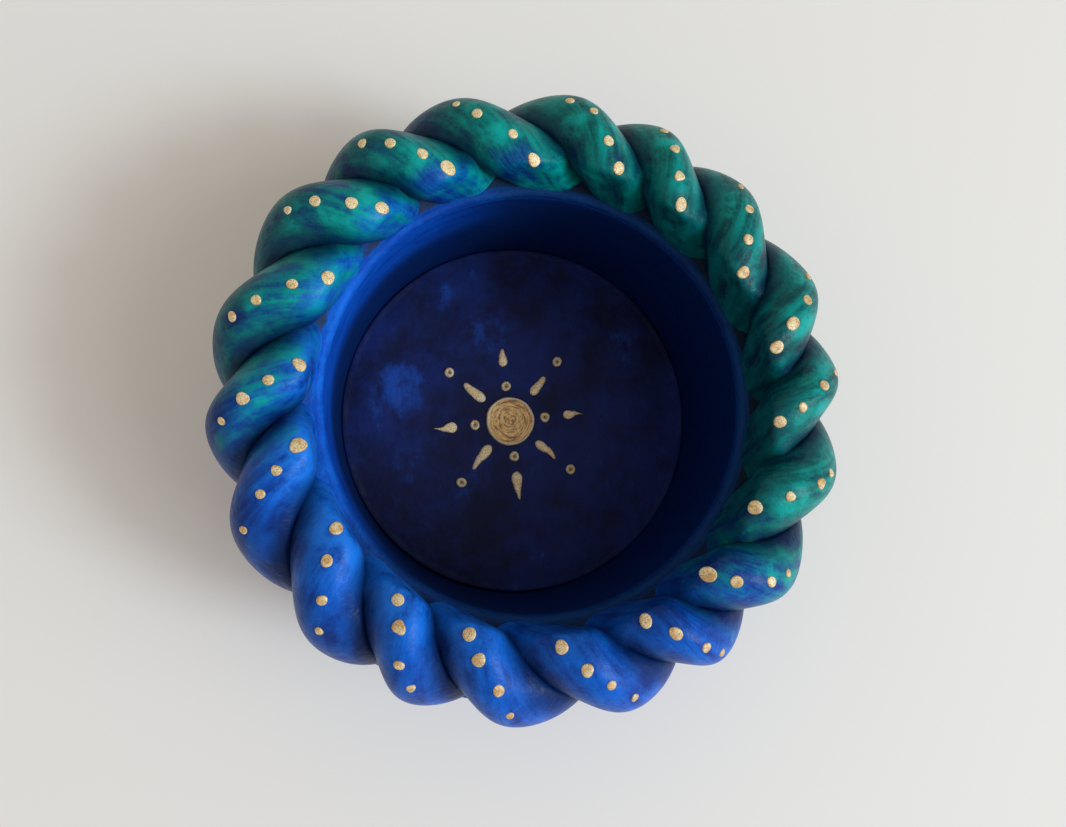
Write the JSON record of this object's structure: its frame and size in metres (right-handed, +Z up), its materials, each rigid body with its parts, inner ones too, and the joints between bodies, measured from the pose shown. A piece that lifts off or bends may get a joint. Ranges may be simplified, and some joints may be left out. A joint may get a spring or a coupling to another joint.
{
  "type": "diya oil lamp bowl",
  "caption": "Round painted diya lamp bowl with a twisted rope rim and a plain round well for oil and wick or a tealight.",
  "frame": {"origin": "middle of the flat base, on the surface the lamp stands on", "axes": "+Z up out of the well's mouth; the lamp is round, and +Y is the top of the lamp as it is usually pictured from above"},
  "size_m": [0.0892, 0.09, 0.0409],
  "materials": {
    "floor_paint": "matt to satin deep navy acrylic over clay, brushed, with brighter blue patches",
    "wall_paint": "satin ultramarine acrylic over clay, brushed round the wall",
    "rim_paint": "satin cobalt acrylic over a smoothed slip bead",
    "rope_paint": "satin acrylic that passes from cobalt blue to teal green round the ring",
    "gold_paint": "metallic gold acrylic relief paint, finely grained"
  },
  "bodies": {
    "root": {"floor_disc": "floor_paint", "cup_wall": "wall_paint", "rim_bead": "rim_paint", "rope_strand_a": "rope_paint", "rope_strand_b": "rope_paint", "sun_disc": "gold_paint", "sun_near_dot_1": "gold_paint", "sun_near_dot_2": "gold_paint", "sun_near_dot_3": "gold_paint", "sun_near_dot_4": "gold_paint", "sun_far_dot_1": "gold_paint", "sun_far_dot_2": "gold_paint", "sun_far_dot_3": "gold_paint", "sun_far_dot_4": "gold_paint", "sun_main_ray_1": "gold_paint", "sun_main_ray_2": "gold_paint", "sun_main_ray_3": "gold_paint", "sun_main_ray_4": "gold_paint", "sun_corner_ray_1": "gold_paint", "sun_corner_ray_2": "gold_paint", "sun_corner_ray_3": "gold_paint", "sun_corner_ray_4": "gold_paint"}
  },
  "joints": []
}
